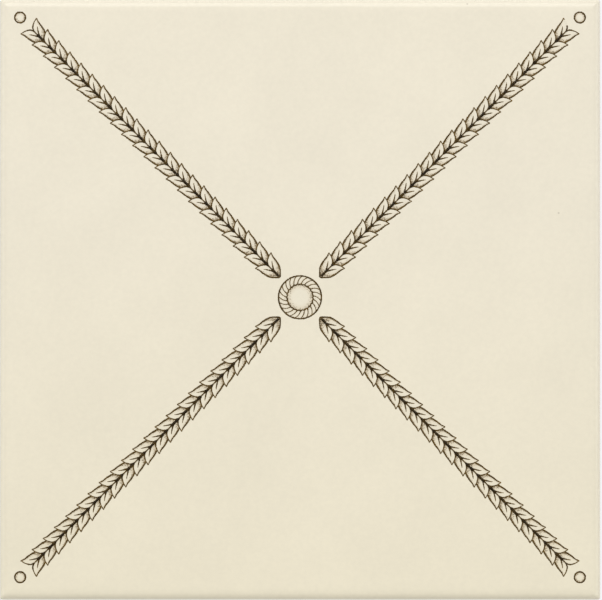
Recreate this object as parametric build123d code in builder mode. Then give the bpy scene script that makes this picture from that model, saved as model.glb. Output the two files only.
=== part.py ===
"""Decorative glazed wall tile: one dust-pressed and fired piece.

The glazed face looks up and the keyed back lies on Z = 0. The origin is the centre of the back.
Lengths are in millimetres and angles in degrees.
"""

import os
from math import radians, tan

from build123d import *

# Pressed body
tile_side = 152.0  # overall width and depth, measured at the upright land
tile_thickness = 7.0
corner_radius = 0.6  # rounding of the plan corners
cushion_radius = 2.0  # roll of the glazed face into the sides, wider than the plan corners
edge_land = 0.9  # upright band under the roll, where neighbouring tiles meet
flank_draft = 2.0  # lean of the sides from the land in to the back
back_arris = 0.5  # rounding of the outer edge of the back

# Adhesive key: rows of shallow recesses pressed into the back
key_count = 10  # recesses in a row, both ways
key_rib = 2.6  # rib left between two recesses
key_depth = 0.8
key_draft = 35.0  # lean of the recess walls
key_border = 6.0  # plain margin between the recesses and the arris

# Sizes that follow from the ones above
flank_height = tile_thickness - cushion_radius - edge_land
back_side = tile_side - 2 * flank_height * tan(radians(flank_draft))
key_field = back_side - 2 * (back_arris + key_border)
key_pitch = (key_field + key_rib) / key_count
key_mouth = key_pitch - key_rib

# One recess of the key, as the punch presses it: a square with drafted walls.
with BuildPart() as key_recess:
    with BuildSketch(Plane.XY):
        Rectangle(key_mouth, key_mouth)
    extrude(amount=key_depth, taper=key_draft)

with BuildPart() as wall_tile:
    # The land and the cushioned face stand on the outline, and the drafted flank hangs from it.
    with BuildSketch(Plane.XY.offset(flank_height)) as outline:
        RectangleRounded(tile_side, tile_side, corner_radius)
    extrude(amount=edge_land + cushion_radius)
    extrude(outline.sketch, amount=-flank_height, taper=flank_draft)

    face = wall_tile.faces().sort_by(Axis.Z)[-1]
    fillet(face.edges(), radius=cushion_radius)
    back = wall_tile.faces().sort_by(Axis.Z)[0]
    fillet(back.edges(), radius=back_arris)

    # The recesses stop short of the arris, so the back stays one connected bedding face.
    with GridLocations(key_pitch, key_pitch, key_count, key_count):
        add(key_recess.part, mode=Mode.SUBTRACT)

wall_tile.part.label = "wall_tile"

os.makedirs("parts", exist_ok=True)
export_step(wall_tile.part, "parts/wall_tile.step")
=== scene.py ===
"""Looks of a decorative wall tile: bare biscuit body, cream glaze coat, printed ornament and a plain stage.

The tile lies face up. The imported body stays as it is, and shows on the back and where the glaze stops on the
sides. Over it come the glaze coat and the umber print: four laurel bands, a rope ring and four pearls.
"""

import math

import bpy
import numpy as np
from bpy.props import FloatProperty, FloatVectorProperty, IntProperty, PointerProperty
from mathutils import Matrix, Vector, noise


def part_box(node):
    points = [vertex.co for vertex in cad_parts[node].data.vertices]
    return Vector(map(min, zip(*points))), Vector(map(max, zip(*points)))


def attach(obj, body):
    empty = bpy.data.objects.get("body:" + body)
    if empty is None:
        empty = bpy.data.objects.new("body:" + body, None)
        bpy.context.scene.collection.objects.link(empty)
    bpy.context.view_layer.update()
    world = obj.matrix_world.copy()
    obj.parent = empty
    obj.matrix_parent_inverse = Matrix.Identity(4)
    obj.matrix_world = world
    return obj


bl_info = {
    "name": "Decorative wall tile",
    "version": (1, 0, 0),
    "blender": (4, 5, 0),
    "location": "3D View > Sidebar > Tile",
    "description": "Glazes, prints and stages one cushion-edged wall tile",
    "category": "Object",
}

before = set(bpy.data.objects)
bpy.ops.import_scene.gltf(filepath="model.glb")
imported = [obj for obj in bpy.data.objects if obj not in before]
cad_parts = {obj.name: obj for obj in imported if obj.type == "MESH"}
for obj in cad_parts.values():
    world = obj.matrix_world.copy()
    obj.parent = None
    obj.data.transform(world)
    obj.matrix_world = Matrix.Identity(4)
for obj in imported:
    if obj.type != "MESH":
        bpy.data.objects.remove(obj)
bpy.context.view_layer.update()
BODY_LOW, BODY_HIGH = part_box("wall_tile")
BODY = "root"
MM = 0.001

# The photograph's frame, and how far one of its pixels reaches at the tile's widest level
FRAME_WIDTH = 602
FRAME_HEIGHT = 600
PIXEL = 0.25346 * MM

# The leaf is drawn tip first. Across is in leaf spreads, along in leaf pitches, weight in pen widths.
OUTER_EDGE = (
    (0.992, 0.030, 0.90),
    (0.930, -0.070, 1.10),
    (0.850, -0.240, 1.38),
    (0.824, -0.450, 1.42),
    (0.776, -0.680, 1.40),
    (0.708, -0.870, 1.38),
    (0.630, -1.015, 1.36),
)
INNER_EDGE = (
    (1.000, 0.036, 0.90),
    (0.805, 0.000, 1.05),
    (0.620, -0.034, 1.05),
    (0.440, -0.092, 1.20),
    (0.265, -0.162, 1.40),
    (0.120, -0.258, 1.60),
    (0.025, -0.410, 1.40),
)
MIDRIB = (
    (0.530, -0.375, 0.35),
    (0.440, -0.445, 0.85),
    (0.300, -0.590, 1.25),
    (0.160, -0.750, 1.60),
    (0.050, -0.880, 1.80),
)
STEM = (
    (0.0, -0.360, 2.30),
    (0.0, -0.430, 1.80),
    (0.0, -0.500, 1.45),
    (0.0, -0.580, 1.30),
    (0.0, -0.660, 1.40),
    (0.0, -0.740, 1.75),
    (0.0, -0.820, 2.60),
    (0.0, -0.900, 2.85),
    (0.0, -1.000, 2.75),
    (0.0, -1.100, 2.60),
    (0.0, -1.200, 2.60),
    (0.0, -1.300, 2.50),
    (0.0, -1.370, 2.30),
)
# Hatching inside the outer edge: where along it a short stroke starts, and how far across it runs in
HATCHING = (
    (-0.22, 0.07),
    (-0.33, 0.10),
    (-0.44, 0.10),
    (-0.55, 0.13),
    (-0.65, 0.16),
    (-0.75, 0.15),
    (-0.85, 0.17),
)
# Only the pair nearest the ring shows its rounded foot.
FOOT_EDGE = (
    (0.657, -0.965, 1.36),
    (0.630, -1.015, 1.36),
    (0.430, -1.180, 1.45),
    (0.210, -1.340, 1.60),
    (0.070, -1.435, 1.60),
    (-0.060, -1.452, 1.40),
)
# One turn of the rope, from the inner circle out: share of the band, share of the twist, weight in pen widths
ROPE_TURN = (
    (0.00, 0.00, 1.40),
    (0.25, 0.14, 1.05),
    (0.50, 0.36, 0.92),
    (0.75, 0.66, 0.88),
    (1.00, 1.00, 1.00),
)
# Where the shading's points lie: across the leaf, and from its base up to its inner edge
LEAF_ACROSS = (0.0, 0.06, 0.14, 0.24, 0.36, 0.48, 0.58, 0.66, 0.73, 0.79, 0.84, 0.90, 0.97)
LEAF_SHARES = (0.0, 0.08, 0.18, 0.32, 0.55, 1.0)
FOOT_ACROSS = (0.0, 0.07, 0.15, 0.25, 0.36, 0.48, 0.60)
FOOT_SHARES = (0.0, 0.3, 0.6, 1.0)
# Tones across a strand of the rope, and out from the middle of the ring's disc and of a pearl
STRAND_TONES = ((0.0, 0.24), (0.2, 0.13), (0.45, 0.04), (0.75, 0.0), (1.0, 0.07))
RING_TONES = (
    (0.02, 0.0),
    (0.53, 0.0),
    (0.63, 0.06),
    (0.71, 0.13),
    (0.79, 0.21),
    (0.87, 0.33),
    (0.95, 0.46),
    (1.0, 0.5),
)
PEARL_TONES = (
    (0.02, 0.0),
    (0.36, 0.01),
    (0.46, 0.05),
    (0.55, 0.14),
    (0.65, 0.27),
    (0.75, 0.42),
    (0.86, 0.58),
    (1.0, 0.7),
)


def colour_setting(name, description, default):
    return FloatVectorProperty(
        name=name, description=description, default=default, size=3, min=0.0, max=1.0, subtype="COLOR"
    )


def place_setting(name, description, default):
    return FloatVectorProperty(
        name=name, description=description, default=default, size=2, precision=5, unit="LENGTH"
    )


def length_setting(name, description, default):
    return FloatProperty(name=name, description=description, default=default, precision=6, unit="LENGTH")


def angle_setting(name, description, default):
    return FloatProperty(name=name, description=description, default=default, unit="ROTATION")


def power_setting(name, description, default):
    return FloatProperty(name=name, description=description, default=default, unit="POWER")


class GlazeSettings(bpy.types.PropertyGroup):
    """Sizes and colours of the fired body and its glaze"""

    cream: colour_setting("Cream", "Colour of the opaque glaze", (0.845, 0.782, 0.632))
    biscuit: colour_setting("Biscuit", "Colour of the bare fired body", (0.72, 0.60, 0.47))
    rise: length_setting("Rise", "Thickness of the glaze on the cushion and the sides", 0.04 * MM)
    roll: length_setting("Roll", "Radius of the cushion between the face and the sides", 2.0 * MM)
    ease: angle_setting(
        "Ease",
        "Part of the cushion's turn over which the deeper glaze of the face thins out",
        math.radians(8.0),
    )
    corner: length_setting("Corner", "Plan radius of the body's corners", 0.6 * MM)
    land: length_setting("Land", "Height of the upright band under the cushion", 0.9 * MM)
    draft: angle_setting("Draft", "Lean of the sides under the land", math.radians(2.0))
    rim: length_setting("Rim", "Mean height above the floor at which the glaze stops", 2.3 * MM)
    rim_run: length_setting("Rim run", "How far the glaze rim wanders up and down", 1.1 * MM)


class PrintSettings(bpy.types.PropertyGroup):
    """Sizes and colours of the printed ornament"""

    umber: colour_setting("Umber", "Colour of the drawn lines", (0.018, 0.010, 0.0015))
    sepia: colour_setting(
        "Sepia",
        "Colour of the stippled shading between the lines",
        (0.38, 0.22, 0.035),
    )
    centre: place_setting(
        "Centre",
        "Middle of the print, which sits a little off the tile's own",
        (-0.02 * MM, 0.57 * MM),
    )
    pen: length_setting("Pen", "Half the width of an ordinary line", 0.125 * MM)
    relief: FloatProperty(
        name="Relief",
        description="Height of a line over half its width",
        default=0.06,
    )
    wash_rise: length_setting("Wash rise", "Height of the shading over the glaze", 0.012 * MM)
    wobble: length_setting("Wobble", "How far the hand strays from the drawing", 0.05 * MM)
    unevenness: FloatProperty(
        name="Unevenness",
        description="Share by which a line swells and thins",
        default=0.45,
    )
    seed: IntProperty(name="Seed", description="Picks the hand's small errors", default=7)
    lifted: place_setting(
        "Lifted spot",
        "Where a small patch of the transfer lifted and left no ink",
        (67.3 * MM, 70.1 * MM),
    )
    lifted_reach: length_setting("Lifted reach", "Radius of the lifted spot", 0.85 * MM)
    pairs: IntProperty(name="Leaf pairs", description="Pairs of leaves in one band", default=22)
    pitch: length_setting("Leaf pitch", "Distance from one pair of leaves to the next", 3.993 * MM)
    spread: length_setting("Leaf spread", "Distance of a leaf's tip from the band's stem", 2.86 * MM)
    first_tip: length_setting(
        "First tip",
        "Distance of the innermost tips from the print's middle, along the band",
        13.04 * MM,
    )
    ring_outer: length_setting("Ring outside", "Radius of the rope ring's outer line", 5.42 * MM)
    ring_inner: length_setting("Ring inside", "Radius of the rope ring's inner line", 3.20 * MM)
    ring_turns: IntProperty(
        name="Rope turns",
        description="Strands that cross the ring's band",
        default=23,
    )
    ring_twist: angle_setting(
        "Rope twist",
        "Angle by which a strand's outer end runs ahead, clockwise",
        math.radians(17.0),
    )
    pearl_radius: length_setting("Pearl", "Radius of a pearl's line", 1.36 * MM)
    pearl_reach: length_setting(
        "Pearl reach",
        "Distance of a pearl from the print's middle, along X and along Y",
        70.75 * MM,
    )


class StageSettings(bpy.types.PropertyGroup):
    """Floor, lamps and camera"""

    floor: colour_setting("Floor", "Colour of the floor", (0.74, 0.74, 0.73))
    sky: FloatProperty(
        name="Sky",
        description="Strength of the even light from all round",
        default=0.53,
    )
    key: power_setting("Key", "Power of the large soft box beyond the tile's top edge", 20.0)
    window: power_setting("Window", "Power of the low window that the upper roll mirrors", 0.5)
    over: power_setting("Overhead", "Power of the soft box above the camera", 3.0)
    side: power_setting("Sides", "Power of each of the two side fills", 3.0)
    lens: FloatProperty(
        name="Lens",
        description="Focal length of the camera, in millimetres",
        default=200.0,
    )


class NodeBench:
    """Adds nodes to a tree from left to right, and joins their sockets."""

    def __init__(self, tree):
        self.tree = tree

    def add(self, kind, inputs=None, **settings):
        node = self.tree.nodes.new(kind)
        node.location = (200 * len(self.tree.nodes), 0)
        for key, value in settings.items():
            setattr(node, key, value)
        for key, value in (inputs or {}).items():
            self.feed(node.inputs[key], value)
        return node

    def feed(self, socket, value):
        """A socket takes a value, the output of another node, or several outputs where it can."""
        if isinstance(value, (list, tuple)) and value and isinstance(value[0], bpy.types.NodeSocket):
            for one in value:
                self.tree.links.new(one, socket)
        elif isinstance(value, bpy.types.NodeSocket):
            self.tree.links.new(value, socket)
        else:
            socket.default_value = value

    def math(self, operation, first, second=0.0, third=0.0, clamp=False):
        inputs = {0: first, 1: second, 2: third}
        return self.add("ShaderNodeMath", inputs, operation=operation, use_clamp=clamp).outputs[0]

    def vector_math(self, operation, first, second=(0.0, 0.0, 0.0)):
        return self.add("ShaderNodeVectorMath", {0: first, 1: second}, operation=operation).outputs[0]

    def scaled(self, vector, factor):
        node = self.add("ShaderNodeVectorMath", {0: vector, "Scale": factor}, operation="SCALE")
        return node.outputs[0]

    def ramped(self, value, low, high, out_low=0.0, out_high=1.0):
        inputs = {"Value": value, "From Min": low, "From Max": high, "To Min": out_low, "To Max": out_high}
        return self.add("ShaderNodeMapRange", inputs).outputs[0]

    def combined(self, x=0.0, y=0.0, z=0.0):
        return self.add("ShaderNodeCombineXYZ", {"X": x, "Y": y, "Z": z}).outputs[0]

    def mixed(self, factor, first, second, blend_type="MIX"):
        node = self.add("ShaderNodeMix", data_type="RGBA", blend_type=blend_type)
        self.feed(node.inputs[0], factor)
        self.feed(node.inputs[6], first)
        self.feed(node.inputs[7], second)
        return node.outputs[2]


def new_group(kind, name, inputs, outputs):
    """A node group with named sockets: (type, name, default) for inputs, (type, name) for outputs."""
    tree = bpy.data.node_groups.new(name, kind)
    for socket_type, label, default in inputs:
        socket = tree.interface.new_socket(label, in_out="INPUT", socket_type="NodeSocket" + socket_type)
        if default is not None:
            socket.default_value = default
    for socket_type, label in outputs:
        tree.interface.new_socket(label, in_out="OUTPUT", socket_type="NodeSocket" + socket_type)
    bench = NodeBench(tree)
    return bench, bench.add("NodeGroupInput").outputs, bench.add("NodeGroupOutput").inputs


def rgba(colour):
    return (*colour, 1.0)


# Shader groups that more than one finish uses


def glaze_tint_group():
    """Cream that drifts a little in depth, with rare faint specks, and the low swell of a poured surface."""
    inputs = [("Vector", "Vector", None), ("Color", "Cream", (0.8, 0.8, 0.8, 1.0))]
    outputs = [("Color", "Color"), ("Float", "Height")]
    bench, given, result = new_group("ShaderNodeTree", "glaze_tint", inputs, outputs)
    cloud = bench.add("ShaderNodeTexNoise", {"Vector": given["Vector"], "Scale": 55.0, "Detail": 3.0})
    grain = bench.add("ShaderNodeTexNoise", {"Vector": given["Vector"], "Scale": 900.0, "Detail": 2.0})
    drift = bench.ramped(cloud.outputs["Fac"], 0.3, 0.7, 0.982, 1.018)
    fine = bench.ramped(grain.outputs["Fac"], 0.3, 0.7, 0.985, 1.015)
    depth = bench.math("MULTIPLY", drift, fine)
    # The cream turns a little warmer, with less blue, towards the lower edge.
    along = bench.add("ShaderNodeSeparateXYZ", {0: given["Vector"]}).outputs["Y"]
    warmth = bench.ramped(along, 0.025, -0.076, 0.0, 1.0)
    warm = bench.mixed(warmth, given["Cream"], (1.0, 0.993, 0.945, 1.0), "MULTIPLY")
    tinted = bench.scaled(warm, depth)
    # Iron specks: a few cells of a fine net, each with a small dot in its middle
    cells = bench.add("ShaderNodeTexVoronoi", {"Vector": given["Vector"], "Scale": 260.0})
    pick = bench.add("ShaderNodeSeparateColor", {"Color": cells.outputs["Color"]}).outputs["Red"]
    chosen = bench.math("GREATER_THAN", pick, 0.985)
    dot = bench.ramped(cells.outputs["Distance"], 0.03, 0.09, 0.35, 0.0)
    speck = bench.math("MULTIPLY", chosen, dot)
    bench.feed(result["Color"], bench.mixed(speck, tinted, (0.30, 0.22, 0.14, 1.0)))
    swell = bench.add("ShaderNodeTexNoise", {"Vector": given["Vector"], "Scale": 95.0, "Detail": 1.5})
    bench.feed(result["Height"], swell.outputs["Fac"])
    return bench.tree


def stipple_group():
    """Fine dots of a transfer print: the share of the dots that take ink follows the tone."""
    inputs = [("Vector", "Vector", None), ("Float", "Tone", 0.5), ("Float", "Grain", 4600.0)]
    bench, given, result = new_group("ShaderNodeTree", "stipple", inputs, [("Float", "Mask")])
    inputs = {"Vector": given["Vector"], "Scale": given["Grain"]}
    cells = bench.add("ShaderNodeTexVoronoi", inputs, voronoi_dimensions="2D")
    level = bench.add("ShaderNodeSeparateColor", {"Color": cells.outputs["Color"]}).outputs["Red"]
    high = bench.math("MULTIPLY_ADD", given["Tone"], 1.35, -0.06)
    low = bench.math("SUBTRACT", high, 0.3)
    inked = bench.ramped(level, low, high, 1.0, 0.0)
    dot = bench.ramped(cells.outputs["Distance"], 0.42, 0.60, 1.0, 0.0)
    bench.feed(result["Mask"], bench.math("MULTIPLY", inked, dot))
    return bench.tree


def shared_group(build):
    """Builds a shader group once, and hands out the same one after that."""
    name = build.__name__.removesuffix("_group")
    return bpy.data.node_groups.get(name) or build()


def new_material(name):
    material = bpy.data.materials.new(name)
    material.use_nodes = True
    bench = NodeBench(material.node_tree)
    shader = material.node_tree.nodes["Principled BSDF"]
    place = bench.add("ShaderNodeTexCoord").outputs["Object"]
    return material, bench, shader, place


def grouped(bench, build, inputs):
    """A shared shader group, placed in a material with its own values."""
    node = bench.add("ShaderNodeGroup", node_tree=shared_group(build))
    for key, value in inputs.items():
        bench.feed(node.inputs[key], value)
    return node.outputs


def add_swell(bench, shader, height):
    bump = bench.add("ShaderNodeBump", {"Height": height, "Distance": 0.012 * MM, "Strength": 1.0})
    bench.feed(shader.inputs["Normal"], bump.outputs["Normal"])


def glaze_material(settings):
    material, bench, shader, place = new_material("poured_glaze")
    tint = grouped(bench, glaze_tint_group, {"Vector": place, "Cream": rgba(settings.cream)})
    bench.feed(shader.inputs["Base Color"], tint["Color"])
    add_swell(bench, shader, tint["Height"])
    shader.inputs["Roughness"].default_value = 0.10
    shader.inputs["IOR"].default_value = 1.5
    return material


def line_material(glaze, settings):
    """Umber ink of the lines: dense, with patches where the transfer took less and one where it lifted."""
    material, bench, shader, place = new_material("umber_line")
    patches = bench.add("ShaderNodeTexNoise", {"Vector": place, "Scale": 700.0, "Detail": 3.0})
    worn = bench.ramped(patches.outputs["Fac"], 0.45, 0.75, 0.0, 0.20)
    # A heavy stroke carries more ink than a fine one.
    weight = bench.add("ShaderNodeAttribute", attribute_name="half_width").outputs["Fac"]
    fine = bench.ramped(weight, 0.8 * settings.pen, 2.2 * settings.pen, 0.30, 0.0)
    ink = bench.mixed(bench.math("ADD", worn, fine), rgba(settings.umber), rgba(settings.sepia))
    flat = bench.vector_math("MULTIPLY", place, (1.0, 1.0, 0.0))
    inputs = {0: flat, 1: (*settings.lifted, 0.0)}
    away = bench.add("ShaderNodeVectorMath", inputs, operation="DISTANCE").outputs["Value"]
    lost = bench.ramped(away, 0.85 * settings.lifted_reach, settings.lifted_reach, 1.0, 0.0)
    tint = grouped(bench, glaze_tint_group, {"Vector": place, "Cream": rgba(glaze.cream)})
    bench.feed(shader.inputs["Base Color"], bench.mixed(lost, ink, tint["Color"]))
    shader.inputs["Roughness"].default_value = 0.10
    shader.inputs["IOR"].default_value = 1.5
    shader.inputs["Specular IOR Level"].default_value = 0.12
    return material


def wash_material(glaze, settings):
    """Stippled sepia over the same cream, so that a bare spot can't be told from the glaze beside it."""
    material, bench, shader, place = new_material("sepia_wash")
    tint = grouped(bench, glaze_tint_group, {"Vector": place, "Cream": rgba(glaze.cream)})
    tone = bench.add("ShaderNodeAttribute", attribute_name="tone").outputs["Fac"]
    dots = grouped(bench, stipple_group, {"Vector": place, "Tone": tone})
    # A thin even veil of sepia lies under darker specks.
    veil = bench.mixed(bench.math("MULTIPLY", tone, 0.62), tint["Color"], rgba(settings.sepia))
    specks = bench.math("MULTIPLY", dots["Mask"], 0.90)
    brown = [0.78 * dark + 0.22 * light for dark, light in zip(settings.umber, settings.sepia)]
    bench.feed(shader.inputs["Base Color"], bench.mixed(specks, veil, rgba(brown)))
    add_swell(bench, shader, tint["Height"])
    shader.inputs["Roughness"].default_value = 0.11
    shader.inputs["IOR"].default_value = 1.5
    return material


def biscuit_material(settings):
    """Porous fired clay: matt, sandy, with darker grog grains and dusty patches."""
    material, bench, shader, place = new_material("biscuit")
    cloud = bench.add("ShaderNodeTexNoise", {"Vector": place, "Scale": 45.0, "Detail": 5.0})
    sand = bench.add("ShaderNodeTexNoise", {"Vector": place, "Scale": 2600.0, "Detail": 4.0})
    depth = bench.math(
        "MULTIPLY",
        bench.ramped(cloud.outputs["Fac"], 0.3, 0.7, 0.90, 1.08),
        bench.ramped(sand.outputs["Fac"], 0.3, 0.7, 0.90, 1.08),
    )
    clay = bench.scaled(tuple(settings.biscuit), depth)
    grog = bench.add("ShaderNodeTexVoronoi", {"Vector": place, "Scale": 1100.0})
    grains = bench.ramped(grog.outputs["Distance"], 0.10, 0.28, 0.45, 0.0)
    bench.feed(shader.inputs["Base Color"], bench.mixed(grains, clay, (0.40, 0.29, 0.20, 1.0)))
    bench.feed(shader.inputs["Roughness"], bench.ramped(sand.outputs["Fac"], 0.3, 0.7, 0.78, 0.95))
    inputs = {"Height": sand.outputs["Fac"], "Distance": 0.06 * MM, "Strength": 1.0}
    bump = bench.add("ShaderNodeBump", inputs)
    bench.feed(shader.inputs["Normal"], bump.outputs["Normal"])
    return material


def finish(name, build, *settings):
    """A finish is made once and shared by the pieces that wear it."""
    return bpy.data.materials.get(name) or build(*settings)


# Geometry groups and trees of the print


def add_wobble(bench, geometry, given):
    """Moves the drawing's points a little, the same way wherever two strokes meet."""
    spot = bench.add("GeometryNodeInputPosition").outputs[0]
    inputs = {"Vector": spot, "Scale": 550.0, "Detail": 1.0}
    stray = bench.add("ShaderNodeTexNoise", inputs, noise_dimensions="4D")
    bench.feed(stray.inputs["W"], given["Seed"])
    centred = bench.vector_math("SUBTRACT", stray.outputs["Color"], (0.5, 0.5, 0.5))
    flat = bench.vector_math("MULTIPLY", centred, (2.0, 2.0, 0.0))
    offset = bench.scaled(flat, given["Wobble"])
    return bench.add("GeometryNodeSetPosition", {"Geometry": geometry, "Offset": offset}).outputs[0]


def add_lines(bench, curves, given):
    """Turns drawn curves into closed beads of ink, as wide as their half_width says."""
    smooth = bench.add("GeometryNodeCurveSplineType", {"Curve": curves}, spline_type="CATMULL_ROM").outputs[0]
    fine = bench.add("GeometryNodeSetSplineResolution", {"Geometry": smooth, "Resolution": 6}).outputs[0]
    inputs = {"Curve": fine, "Length": given["Step"]}
    even = bench.add("GeometryNodeResampleCurve", inputs, mode="LENGTH").outputs[0]
    level = bench.add("GeometryNodeSetCurveNormal", {"Curve": even}, mode="Z_UP").outputs[0]
    width = bench.add("GeometryNodeInputNamedAttribute", {"Name": "half_width"}, data_type="FLOAT").outputs[0]
    spot = bench.add("GeometryNodeInputPosition").outputs[0]
    inputs = {"Vector": spot, "Scale": 4200.0, "Detail": 2.0}
    swell = bench.add("ShaderNodeTexNoise", inputs, noise_dimensions="4D")
    bench.feed(swell.inputs["W"], given["Seed"])
    centred = bench.ramped(swell.outputs["Fac"], 0.25, 0.75, -1.0, 1.0)
    factor = bench.math("MULTIPLY_ADD", centred, given["Unevenness"], 1.0)
    thin = bench.math("MULTIPLY", given["Relief"], 2.0)
    nib = bench.add("GeometryNodeCurvePrimitiveQuadrilateral", {"Width": 2.0, "Height": thin}).outputs[0]
    inputs = {
        "Curve": level,
        "Profile Curve": nib,
        "Scale": bench.math("MULTIPLY", width, factor),
        "Fill Caps": True,
    }
    strip = bench.add("GeometryNodeCurveToMesh", inputs).outputs[0]
    # The upper faces lie just over the shading, and the lower ones in the glaze.
    spot = bench.add("GeometryNodeInputPosition").outputs[0]
    height = bench.add("ShaderNodeSeparateXYZ", {0: spot}).outputs["Z"]
    lift = bench.math("MULTIPLY", bench.math("SIGN", height), given["Rise"])
    inputs = {"Geometry": strip, "Offset": bench.combined(0.0, 0.0, lift)}
    return bench.add("GeometryNodeSetPosition", inputs).outputs[0]


def add_turned(bench, unit, count, start):
    """Copies of a unit, turned round the middle in equal steps."""
    index = bench.add("GeometryNodeInputIndex").outputs[0]
    step = bench.math("DIVIDE", 2.0 * math.pi, count)
    angle = bench.math("MULTIPLY_ADD", index, step, start)
    turn = bench.add("FunctionNodeEulerToRotation", {0: bench.combined(0.0, 0.0, angle)}).outputs[0]
    points = bench.add("GeometryNodePoints", {"Count": count}).outputs[0]
    inputs = {"Points": points, "Instance": unit, "Rotation": turn}
    return bench.add("GeometryNodeInstanceOnPoints", inputs).outputs[0]


def add_bands(bench, unit, given):
    """Repeats the leaf pair out along four diagonal bands. The foot goes on the first pair alone."""
    first_only = bench.add("GeometryNodeInputNamedAttribute", {"Name": "first_only"}, data_type="BOOLEAN")
    parts = bench.add("GeometryNodeSeparateGeometry", {"Geometry": unit, "Selection": first_only.outputs[0]})
    start = bench.combined(0.0, given["First Tip"], 0.0)
    stride = bench.combined(0.0, given["Pitch"], 0.0)
    inputs = {"Count": given["Pairs"], "Start Location": start, "Offset": stride}
    stops = bench.add("GeometryNodeMeshLine", inputs, mode="OFFSET").outputs[0]
    inputs = {"Points": stops, "Instance": parts.outputs["Inverted"]}
    leaves = bench.add("GeometryNodeInstanceOnPoints", inputs).outputs[0]
    inputs = {"Geometry": parts.outputs["Selection"], "Translation": start}
    foot = bench.add("GeometryNodeTransform", inputs).outputs[0]
    band = bench.add("GeometryNodeJoinGeometry", {"Geometry": [leaves, foot]}).outputs[0]
    return add_turned(bench, band, 4, math.pi / 4.0)


def add_corners(bench, unit, given):
    """Puts a unit at the four corners of a square."""
    out = bench.add("GeometryNodeTransform", {"Geometry": unit})
    bench.feed(out.inputs["Translation"], bench.combined(given["Reach"], given["Reach"], 0.0))
    return add_turned(bench, out.outputs[0], 4, 0.0)


def add_circle(bench, radius, points, half_width):
    """A drawn circle that carries its line's half width."""
    inputs = {"Resolution": points, "Radius": radius}
    circle = bench.add("GeometryNodeCurvePrimitiveCircle", inputs).outputs[0]
    inputs = {"Geometry": circle, "Name": "half_width", "Value": half_width}
    return bench.add("GeometryNodeStoreNamedAttribute", inputs, data_type="FLOAT", domain="POINT").outputs[0]


def add_strands(bench, unit, given):
    """Repeats one strand of the rope round the ring."""
    return add_turned(bench, unit, given["Turns"], math.radians(7.0))


def add_rope(bench, unit, given):
    """Strands round the ring's band, an even outer circle, and an inner one that bulges at each strand."""
    strands = add_strands(bench, unit, given)
    outer = add_circle(bench, given["Outer"], 92, bench.math("MULTIPLY", given["Pen"], 1.55))
    inner = add_circle(bench, given["Inner"], 138, bench.math("MULTIPLY", given["Pen"], 1.45))
    lap = bench.add("GeometryNodeSplineParameter").outputs["Factor"]
    phase = bench.math("MULTIPLY", bench.math("MULTIPLY", lap, math.pi), given["Turns"])
    bulge = bench.math("MULTIPLY", bench.math("ABSOLUTE", bench.math("SINE", phase)), 0.16 * MM)
    spot = bench.add("GeometryNodeInputPosition").outputs[0]
    outward = bench.vector_math("NORMALIZE", spot)
    inputs = {"Geometry": inner, "Offset": bench.scaled(outward, bulge)}
    beaded = bench.add("GeometryNodeSetPosition", inputs).outputs[0]
    return bench.add("GeometryNodeJoinGeometry", {"Geometry": [strands, outer, beaded]}).outputs[0]


def add_pearl(bench, unit, given):
    """Four drawn circles, one near each corner of the tile."""
    circle = add_circle(bench, given["Radius"], 28, bench.math("MULTIPLY", given["Pen"], 1.50))
    return add_corners(bench, circle, given)


def add_once(bench, unit, given):
    return unit


LAYOUTS = {
    "bands": (add_bands, [("Float", "First Tip", 0.0), ("Float", "Pitch", 0.0), ("Int", "Pairs", 1)]),
    "corners": (add_corners, [("Float", "Reach", 0.0)]),
    "pearls": (add_pearl, [("Float", "Reach", 0.0), ("Float", "Radius", 0.0), ("Float", "Pen", 0.0)]),
    "rope": (
        add_rope,
        [("Float", "Outer", 0.0), ("Float", "Inner", 0.0), ("Float", "Pen", 0.0), ("Int", "Turns", 1)],
    ),
    "strands": (add_strands, [("Int", "Turns", 1)]),
    "once": (add_once, []),
}


def print_tree(name, layout, drawn):
    """A tree that repeats a unit of the print: drawn edges become lines, and flat plates shading."""
    arrange, sizes = LAYOUTS[layout]
    inputs = [("Geometry", "Unit", None), ("Vector", "Place", None), ("Material", "Finish", None)]
    inputs += [("Float", "Wobble", 0.0), ("Float", "Seed", 0.0), *sizes]
    if drawn:
        inputs += [("Float", "Unevenness", 0.0), ("Float", "Relief", 0.1), ("Float", "Rise", 0.0)]
        inputs += [("Float", "Step", 0.001)]
    bench, given, result = new_group("GeometryNodeTree", name, inputs, [("Geometry", "Geometry")])
    unit = given["Unit"]
    if drawn:
        unit = bench.add("GeometryNodeMeshToCurve", {"Mesh": unit}).outputs[0]
    repeated = arrange(bench, unit, given)
    single = bench.add("GeometryNodeRealizeInstances", {"Geometry": repeated}).outputs[0]
    strayed = add_wobble(bench, single, given)
    body = add_lines(bench, strayed, given) if drawn else strayed
    moved = bench.add("GeometryNodeTransform", {"Geometry": body, "Translation": given["Place"]}).outputs[0]
    plain = bench.add("GeometryNodeRealizeInstances", {"Geometry": moved}).outputs[0]
    inputs = {"Geometry": plain, "Material": given["Finish"]}
    dressed = bench.add("GeometryNodeSetMaterial", inputs).outputs[0]
    bench.feed(result["Geometry"], dressed)
    return bench.tree


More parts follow.
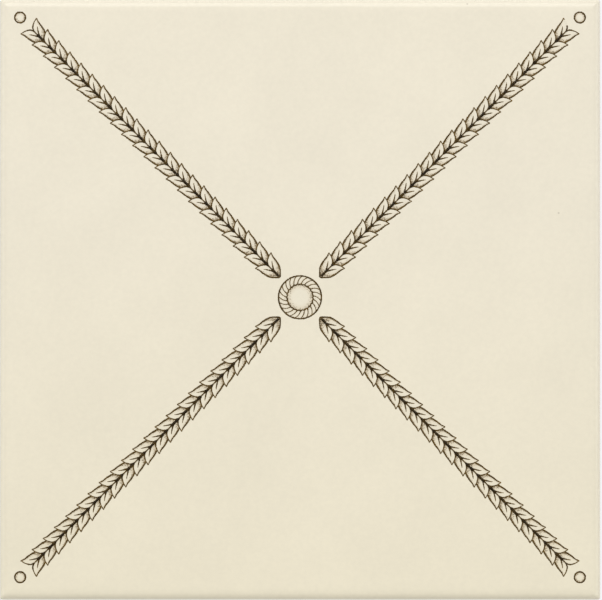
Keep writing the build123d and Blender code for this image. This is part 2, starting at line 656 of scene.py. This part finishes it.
def run_tree(name, unit, tree, values):
    """Runs a tree once on a unit's mesh, and keeps the result as a plain mesh object."""
    piece = bpy.data.objects.new(name, unit)
    bpy.context.scene.collection.objects.link(piece)
    modifier = piece.modifiers.new(tree.name, "NODES")
    modifier.node_group = tree
    for item in tree.interface.items_tree:
        if item.in_out == "INPUT" and item.name in values:
            modifier[item.identifier] = values[item.name]
    graph = bpy.context.evaluated_depsgraph_get()
    made = bpy.data.meshes.new_from_object(piece.evaluated_get(graph), depsgraph=graph)
    piece.modifiers.remove(modifier)
    piece.data = made
    made.name = name
    if not made.polygons:
        raise RuntimeError(f"the tree {tree.name} made no faces")
    return piece


def keep(piece):
    """Every piece of the print and the glaze moves with the one body."""
    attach(piece, BODY)


# Units of the print


def stroke_mesh(name, strokes, first_only=()):
    """Loose edges along strokes of (x, y, half width). Those in first_only go on the first unit alone."""
    points, edges, widths, flags = [], [], [], []
    for number, stroke in enumerate(strokes):
        edges += [(len(points) + i, len(points) + i + 1) for i in range(len(stroke) - 1)]
        points += [(x, y, 0.0) for x, y, _ in stroke]
        widths += [half_width for _, _, half_width in stroke]
        flags += [number in first_only] * len(stroke)
    mesh = bpy.data.meshes.new(name)
    mesh.from_pydata(points, edges, [])
    mesh.attributes.new("half_width", "FLOAT", "POINT").data.foreach_set("value", widths)
    mesh.attributes.new("first_only", "BOOLEAN", "POINT").data.foreach_set("value", flags)
    return mesh


def plate_mesh(name, rise, grids):
    """Thin closed plates with a tone at each point. A grid is rows of (x, y, tone), and a first-unit flag.

    A plate stands one rise over the glaze and reaches two rises down into it.
    """
    points, faces, tones, flags = [], [], [], []
    for rows, first_only in grids:
        wide, deep = len(rows[0]), len(rows)
        upper = len(points)
        lower = upper + wide * deep
        for height in (rise, -2.0 * rise):
            points += [(x, y, height) for row in rows for x, y, _ in row]
            tones += [tone for row in rows for _, _, tone in row]
        flags += [first_only] * (2 * wide * deep)
        for r in range(deep - 1):
            for c in range(wide - 1):
                corner = r * wide + c
                quad = (corner, corner + 1, corner + wide + 1, corner + wide)
                faces.append(tuple(upper + i for i in quad))
                faces.append(tuple(lower + i for i in reversed(quad)))
        rim = [*range(wide), *range(2 * wide - 1, wide * deep, wide)]
        rim += [*range(wide * deep - 2, wide * (deep - 1) - 1, -1), *range(wide * (deep - 2), 0, -wide)]
        for here, there in zip(rim, rim[1:] + rim[:1]):
            faces.append((lower + here, lower + there, upper + there, upper + here))
    mesh = bpy.data.meshes.new(name)
    mesh.from_pydata(points, [], faces)
    mesh.attributes.new("tone", "FLOAT", "POINT").data.foreach_set("value", tones)
    mesh.attributes.new("first_only", "BOOLEAN", "POINT").data.foreach_set("value", flags)
    return mesh


def leaf_stroke(settings, drawn, side):
    return [
        (side * across * settings.spread, along * settings.pitch, weight * settings.pen)
        for across, along, weight in drawn
    ]


def along_at(drawn, across):
    """Where a drawn edge of the leaf lies, along the band, at a distance across it."""
    points = sorted((point[0], point[1]) for point in drawn)
    return float(np.interp(across, [point[0] for point in points], [point[1] for point in points]))


def across_at(drawn, along):
    """Where a drawn edge of the leaf lies, across the band, at a distance along it."""
    points = sorted((point[1], point[0]) for point in drawn)
    return float(np.interp(along, [point[0] for point in points], [point[1] for point in points]))


def hatch_strokes():
    """Short strokes that run from the leaf's outer edge in and down, and thin out."""
    strokes = []
    for along, run in HATCHING:
        across = across_at(OUTER_EDGE, along)
        middle = (across - 0.5 * run, along - 0.28 * run, 0.80)
        strokes.append(((across, along, 1.00), middle, (across - run, along - 0.65 * run, 0.35)))
    return strokes


def leaf_tone(settings, across, along, foot):
    """Shading deepens towards the leaf's outer edge, and towards the leaf that lies over its base."""
    edge = OUTER_EDGE + FOOT_EDGE[2:]
    to_edge = max(0.0, across_at(edge, along) - across) * settings.spread
    by_edge = 0.62 * math.exp(-to_edge / (0.28 * MM))
    base = -1.45 if foot else along_at(INNER_EDGE, across) - 1.0
    to_base = (along - base) * settings.pitch
    reach = (1.85 - 0.60 * min(1.0, across / 0.4)) * MM
    by_base = 0.90 * max(0.0, 1.0 - to_base / reach) ** 1.35
    by_stem = 0.28 * math.exp(-across * settings.spread / (0.35 * MM))
    broad = 0.14 * max(0.0, 1.0 - to_base / (0.9 * settings.pitch))
    return 1.0 - (1.0 - by_edge) * (1.0 - by_base) * (1.0 - by_stem) * (1.0 - broad)


def leaf_plate(settings, side):
    """The part of a leaf that shows: between its two edges, down to the leaf that lies over its base."""
    rows = []
    for across in LEAF_ACROSS:
        high = along_at(INNER_EDGE, across)
        low = high - 1.0
        if across > OUTER_EDGE[-1][0]:
            low = max(low, along_at(OUTER_EDGE, across))
        row = []
        for share in LEAF_SHARES:
            along = low + (high - low) * share
            tone = leaf_tone(settings, across, along, False)
            row.append((side * across * settings.spread, along * settings.pitch, tone))
        rows.append(row if side < 0 else row[::-1])
    return rows


def foot_plate(settings, side):
    """The base of the innermost leaf, which no other leaf covers."""
    rows = []
    for across in FOOT_ACROSS:
        high = along_at(INNER_EDGE, across) - 1.0
        low = min(high, along_at(FOOT_EDGE, across))
        row = []
        for share in FOOT_SHARES:
            along = low + (high - low) * share
            tone = leaf_tone(settings, across, along, True)
            row.append((side * across * settings.spread, along * settings.pitch, tone))
        rows.append(row if side < 0 else row[::-1])
    return rows


def rope_spot(settings, out, twist, lead=0.0):
    """A point of the ring's band, at a share of its width and of a strand's twist, turned on by an angle."""
    radius = settings.ring_inner + (settings.ring_outer - settings.ring_inner) * out
    angle = lead - settings.ring_twist * twist
    return radius * math.cos(angle), radius * math.sin(angle)


def strand_plates(settings):
    """The rope between one drawn strand and the next, shaded along one side and at both ends."""
    step = 2.0 * math.pi / settings.ring_turns
    rows = []
    for share, side_tone in STRAND_TONES:
        row = []
        for out, twist, _ in ROPE_TURN:
            end_tone = 0.30 * (1.0 - out) ** 3 + 0.22 * out**4
            tone = 1.0 - (1.0 - side_tone) * (1.0 - end_tone)
            row.append((*rope_spot(settings, out, twist, step * share), tone))
        rows.append(row)
    return plate_mesh("strand_plate", settings.wash_rise, [(rows, False)])


def disc_mesh(name, radius, rise, tones, spokes):
    """A thin closed round plate with tones set by how far out a point lies: (share of radius, tone)."""
    points, faces, levels = [], [], []
    for height, rings in ((rise, tones), (-2.0 * rise, tones[-1:])):
        for share, tone in rings:
            for i in range(spokes):
                turn = 2.0 * math.pi * i / spokes
                points.append((radius * share * math.cos(turn), radius * share * math.sin(turn), height))
                levels.append(tone)
    faces.append(tuple(range(spokes)))
    for r in range(len(tones)):
        a, b = r * spokes, (r + 1) * spokes
        faces += [(a + i, b + i, b + (i + 1) % spokes, a + (i + 1) % spokes) for i in range(spokes)]
    faces.append(tuple(reversed(range(len(points) - spokes, len(points)))))
    mesh = bpy.data.meshes.new(name)
    mesh.from_pydata(points, [], faces)
    mesh.attributes.new("tone", "FLOAT", "POINT").data.foreach_set("value", levels)
    return mesh


# The glaze coat


def square_ring(half, radius, per_side, per_corner):
    """Points and outward directions round a square with rounded corners, the same count for every size."""
    spots, outs = [], []
    straight = half - radius
    for quarter in range(4):
        turn = quarter * math.pi / 2.0
        c, s = math.cos(turn), math.sin(turn)
        local = [((half, straight * (2.0 * i / per_side - 1.0)), (1.0, 0.0)) for i in range(per_side)]
        for i in range(per_corner):
            a = math.pi / 2.0 * i / per_corner
            spot = (straight + radius * math.cos(a), straight + radius * math.sin(a))
            local.append((spot, (math.cos(a), math.sin(a))))
        spots += [(c * x - s * y, s * x + c * y) for (x, y), _ in local]
        outs += [(c * x - s * y, s * x + c * y) for _, (x, y) in local]
    return np.array(spots), np.array(outs)


def face_levels(settings):
    """Insets and heights from the flat of the face down to the cushion, where the pooled glaze thins out."""
    radius = settings.roll + settings.rise
    start = 1.6 * settings.roll
    stop = settings.roll - radius * math.sin(settings.ease)
    drop = 0.5 * (start - stop) * math.tan(settings.ease)
    level = BODY_HIGH.z - settings.roll + radius * math.cos(settings.ease) + drop
    shares = [step / 6 for step in range(6)]
    slope = [(start - (start - stop) * share, level - drop * share * share) for share in shares]
    return [(start + 0.4 * MM, level)] + slope


def glaze_rings(settings):
    """Rings of points from the face over the cushion, down the sides to the rim, and back inside."""
    half, top = BODY_HIGH.x, BODY_HIGH.z
    roll, rise, corner = settings.roll, settings.rise, settings.corner
    land_top, land_foot = top - roll, top - roll - settings.land
    per_side, per_corner = 264, 10
    spots, _ = square_ring(half, corner, per_side, per_corner)
    drip = np.array([noise.fractal(Vector((x, y, 0.0)) * 190.0, 0.6, 2.2, 4) for x, y in spots])
    rim = settings.rim + settings.rim_run * drip
    bead = rise * (1.25 + 0.5 * np.array([noise.noise(Vector((x, y, 0.02)) * 420.0) for x, y in spots]))

    def ring(inset, height):
        reach = half - inset
        rounding = max(0.12 * MM, corner - 0.24 * inset)
        flat, _ = square_ring(reach, rounding, per_side, per_corner)
        return np.column_stack([flat, np.broadcast_to(height, len(flat))])

    def flank(inset, height):
        """A ring that wanders in height, with its inset following the lean of the side."""
        lean = np.clip(land_foot - height, 0.0, None) * math.tan(settings.draft)
        flat, outs = square_ring(half, corner, per_side, per_corner)
        return np.column_stack([flat - outs * (lean + inset)[:, None], height])

    rings = [ring(inset, height) for inset, height in face_levels(settings)]
    for step in range(15):
        a = settings.ease + (math.pi / 2.0 - settings.ease) * step / 14
        rings.append(ring(roll - (roll + rise) * math.sin(a), land_top + (roll + rise) * math.cos(a)))
    thick = np.full(len(spots), rise)
    rings.append(flank(-thick, np.full(len(spots), land_foot)))
    for share in (0.35, 0.65, 0.85):
        rings.append(flank(-(thick + (bead - thick) * share**2), land_foot + (rim - land_foot) * share))
    rings.append(flank(-bead, rim + 0.10 * MM))
    rings.append(flank(-bead * 0.55, rim))
    rings.append(flank(thick * 2.0, rim - 0.02 * MM))
    rings.append(flank(thick * 6.0, rim + 0.15 * MM))
    rings.append(flank(thick * 10.0, np.full(len(spots), land_top)))
    rings.append(ring(roll * 1.6, top - 4.0 * rise - 0.1 * MM))
    return rings


def coat_mesh(rings):
    """One closed skin: rings joined by quads, with a flat face over the first and another under the last."""
    count = len(rings[0])
    points = np.vstack(rings)
    faces = [tuple(range(count))]
    for r in range(len(rings) - 1):
        a, b = r * count, (r + 1) * count
        faces += [(a + i, b + i, b + (i + 1) % count, a + (i + 1) % count) for i in range(count)]
    last = (len(rings) - 1) * count
    faces.append(tuple(last + i for i in reversed(range(count))))
    mesh = bpy.data.meshes.new("glaze_coat")
    mesh.from_pydata(points.tolist(), [], faces)
    mesh.validate()
    return mesh


# Operators


class TILE_OT_dress_body(bpy.types.Operator):
    """Give the pressed body its bare fired surface"""

    bl_idname = "tile.dress_body"
    bl_label = "Biscuit body"

    def execute(self, context):
        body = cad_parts["wall_tile"]
        body.data.materials.clear()
        body.data.materials.append(finish("biscuit", biscuit_material, context.scene.tile_glaze))
        return {"FINISHED"}


class TILE_OT_pour_glaze(bpy.types.Operator):
    """Coat the face and the upper sides with glaze that stops at a ragged rim"""

    bl_idname = "tile.pour_glaze"
    bl_label = "Glaze coat"

    def execute(self, context):
        settings = context.scene.tile_glaze
        coat = bpy.data.objects.new("glaze_coat", coat_mesh(glaze_rings(settings)))
        context.scene.collection.objects.link(coat)
        coat.data.materials.append(finish("poured_glaze", glaze_material, settings))
        coat.data.shade_smooth()
        keep(coat)
        return {"FINISHED"}


class PrintOperator:
    """What the print's operators share: the sizes that every tree takes, and the two finishes."""

    def common(self, context):
        ink, glaze = context.scene.tile_print, context.scene.tile_glaze
        place = (ink.centre[0], ink.centre[1], face_levels(glaze)[0][1])
        return {"Place": place, "Wobble": ink.wobble, "Seed": float(ink.seed)}

    def lines(self, context, name, unit, layout, sizes):
        ink, glaze = context.scene.tile_print, context.scene.tile_glaze
        values = {**self.common(context), "Unevenness": ink.unevenness, "Relief": ink.relief, **sizes}
        values.update({"Rise": 1.15 * ink.wash_rise, "Step": 1.1 * ink.pen})
        values["Finish"] = finish("umber_line", line_material, glaze, ink)
        keep(run_tree(name, unit, print_tree(name, layout, True), values))

    def shading(self, context, name, unit, layout, sizes):
        ink, glaze = context.scene.tile_print, context.scene.tile_glaze
        values = {**self.common(context), **sizes}
        values["Finish"] = finish("sepia_wash", wash_material, glaze, ink)
        keep(run_tree(name, unit, print_tree(name, layout, False), values))


class TILE_OT_print_laurel(PrintOperator, bpy.types.Operator):
    """Print four laurel bands out along the diagonals, with their shading"""

    bl_idname = "tile.print_laurel"
    bl_label = "Laurel bands"

    def execute(self, context):
        ink = context.scene.tile_print
        edges = (OUTER_EDGE, INNER_EDGE, MIDRIB)
        strokes = [leaf_stroke(ink, drawn, side) for side in (1, -1) for drawn in edges]
        strokes += [leaf_stroke(ink, drawn, side) for side in (1, -1) for drawn in hatch_strokes()]
        strokes.append(leaf_stroke(ink, STEM, 1))
        feet = [leaf_stroke(ink, FOOT_EDGE, side) for side in (1, -1)]
        first_only = range(len(strokes), len(strokes) + len(feet))
        leaf = stroke_mesh("leaf_pair", strokes + feet, first_only)
        plates = [(leaf_plate(ink, side), False) for side in (1, -1)]
        plates += [(foot_plate(ink, side), True) for side in (1, -1)]
        sizes = {"First Tip": ink.first_tip, "Pitch": ink.pitch, "Pairs": ink.pairs}
        self.lines(context, "laurel_lines", leaf, "bands", sizes)
        self.shading(context, "laurel_wash", plate_mesh("leaf_plates", ink.wash_rise, plates), "bands", sizes)
        return {"FINISHED"}


class TILE_OT_print_rope_ring(PrintOperator, bpy.types.Operator):
    """Print the rope ring round the middle, and the shaded disc inside it"""

    bl_idname = "tile.print_rope_ring"
    bl_label = "Rope ring"

    def execute(self, context):
        ink = context.scene.tile_print
        strand = [(*rope_spot(ink, out, twist), weight * ink.pen) for out, twist, weight in ROPE_TURN]
        sizes = {"Outer": ink.ring_outer, "Inner": ink.ring_inner, "Turns": ink.ring_turns, "Pen": ink.pen}
        self.lines(context, "rope_ring_lines", stroke_mesh("rope_turn", [strand]), "rope", sizes)
        self.shading(context, "rope_strand_wash", strand_plates(ink), "strands", {"Turns": ink.ring_turns})
        disc = disc_mesh("ring_disc", ink.ring_inner, ink.wash_rise, RING_TONES, 48)
        self.shading(context, "rope_ring_wash", disc, "once", {})
        return {"FINISHED"}


class TILE_OT_print_pearls(PrintOperator, bpy.types.Operator):
    """Print a pearl near each corner"""

    bl_idname = "tile.print_pearls"
    bl_label = "Corner pearls"

    def execute(self, context):
        ink = context.scene.tile_print
        sizes = {"Reach": ink.pearl_reach, "Radius": ink.pearl_radius, "Pen": ink.pen}
        self.lines(context, "pearl_lines", stroke_mesh("pearl_unit", []), "pearls", sizes)
        disc = disc_mesh("pearl_disc", ink.pearl_radius, ink.wash_rise, PEARL_TONES, 28)
        self.shading(context, "pearl_wash", disc, "corners", sizes)
        return {"FINISHED"}


class TILE_OT_set_stage(bpy.types.Operator):
    """Lay the floor, hang the lamps and stand the camera over the tile"""

    bl_idname = "tile.set_stage"
    bl_label = "Stage"

    def execute(self, context):
        settings = context.scene.tile_stage
        self.lay_floor(context, settings)
        self.light(context, settings)
        self.stand_camera(context, settings)
        context.scene.view_settings.view_transform = "Standard"
        return {"FINISHED"}

    def lay_floor(self, context, settings):
        reach, low = 4.0, BODY_LOW.z - 0.02 * MM
        mesh = bpy.data.meshes.new("floor")
        corners = [(-reach, -reach, low), (reach, -reach, low), (reach, reach, low), (-reach, reach, low)]
        mesh.from_pydata(corners, [], [(0, 1, 2, 3)])
        floor = bpy.data.objects.new("floor", mesh)
        context.scene.collection.objects.link(floor)
        material, bench, shader, place = new_material("studio_floor")
        cloud = bench.add("ShaderNodeTexNoise", {"Vector": place, "Scale": 3.0})
        shade = bench.ramped(cloud.outputs["Fac"], 0.3, 0.7, 0.99, 1.01)
        bench.feed(shader.inputs["Base Color"], bench.scaled(tuple(settings.floor), shade))
        shader.inputs["Roughness"].default_value = 0.9
        # Seen straight or in a reflection, the floor is lifted towards white. It keeps the tile's shadow.
        path = bench.add("ShaderNodeLightPath").outputs
        mirrored = bench.math("MAXIMUM", path["Is Glossy Ray"], path["Is Transmission Ray"])
        seen = bench.math("MAXIMUM", path["Is Camera Ray"], mirrored)
        white = bench.add("ShaderNodeEmission", {"Strength": 1.0}).outputs[0]
        lifted = bench.add("ShaderNodeMixShader", {0: bench.math("MULTIPLY", seen, 0.78), 2: white})
        bench.feed(lifted.inputs[1], shader.outputs[0])
        bench.feed(material.node_tree.nodes["Material Output"].inputs["Surface"], lifted.outputs[0])
        mesh.materials.append(material)

    def light(self, context, settings):
        world = bpy.data.worlds.new("studio")
        world.use_nodes = True
        world.node_tree.nodes["Background"].inputs["Strength"].default_value = settings.sky
        world.node_tree.nodes["Background"].inputs["Color"].default_value = (1.0, 1.0, 1.0, 1.0)
        context.scene.world = world
        lamps = (
            ("key_box", (0.0, 1.30, 1.50), (2.4, 1.4), settings.key),
            ("window", (0.0, 1.55, 0.62), (0.45, 0.70), settings.window),
            ("over_box", (0.0, 0.25, 1.70), (1.6, 1.6), settings.over),
            ("left_fill", (-1.5, 0.0, 0.60), (1.0, 1.0), settings.side),
            ("right_fill", (1.5, 0.0, 0.60), (1.0, 1.0), settings.side),
        )
        for name, spot, size, power in lamps:
            data = bpy.data.lights.new(name, "AREA")
            data.shape = "RECTANGLE"
            data.size, data.size_y = size
            data.energy = power
            lamp = bpy.data.objects.new(name, data)
            context.scene.collection.objects.link(lamp)
            lamp.location = spot
            lamp.rotation_mode = "QUATERNION"
            lamp.rotation_quaternion = (-Vector(spot)).to_track_quat("-Z", "Y")

    def stand_camera(self, context, settings):
        data = bpy.data.cameras.new("camera")
        data.lens = settings.lens
        widest = BODY_HIGH.z - context.scene.tile_glaze.roll
        height = widest + PIXEL * FRAME_WIDTH * data.lens / data.sensor_width
        camera = bpy.data.objects.new("camera", data)
        context.scene.collection.objects.link(camera)
        # The tile's middle lies a little left of and above the middle of the frame.
        camera.location = (0.95 * PIXEL, -0.40 * PIXEL, height)
        context.scene.camera = camera


class TILE_PT_tile(bpy.types.Panel):
    """Lists the tile's operators and settings"""

    bl_idname = "TILE_PT_tile"
    bl_label = "Wall tile"
    bl_space_type = "VIEW_3D"
    bl_region_type = "UI"
    bl_category = "Tile"

    def draw(self, context):
        for operator in OPERATORS:
            self.layout.operator(operator.bl_idname)
        for settings in (context.scene.tile_glaze, context.scene.tile_print, context.scene.tile_stage):
            box = self.layout.box()
            for name in settings.__annotations__:
                box.prop(settings, name)


SETTINGS = {"tile_glaze": GlazeSettings, "tile_print": PrintSettings, "tile_stage": StageSettings}
OPERATORS = (
    TILE_OT_dress_body,
    TILE_OT_pour_glaze,
    TILE_OT_print_laurel,
    TILE_OT_print_rope_ring,
    TILE_OT_print_pearls,
    TILE_OT_set_stage,
)
CLASSES = (*SETTINGS.values(), *OPERATORS, TILE_PT_tile)


def register():
    for cls in CLASSES:
        bpy.utils.register_class(cls)
    for name, group in SETTINGS.items():
        setattr(bpy.types.Scene, name, PointerProperty(type=group))


def unregister():
    for name in SETTINGS:
        delattr(bpy.types.Scene, name)
    for cls in reversed(CLASSES):
        bpy.utils.unregister_class(cls)


def main():
    register()
    bpy.ops.tile.dress_body()
    bpy.ops.tile.pour_glaze()
    bpy.ops.tile.print_laurel()
    bpy.ops.tile.print_rope_ring()
    bpy.ops.tile.print_pearls()
    bpy.ops.tile.set_stage()


if __name__ == "__main__":
    main()
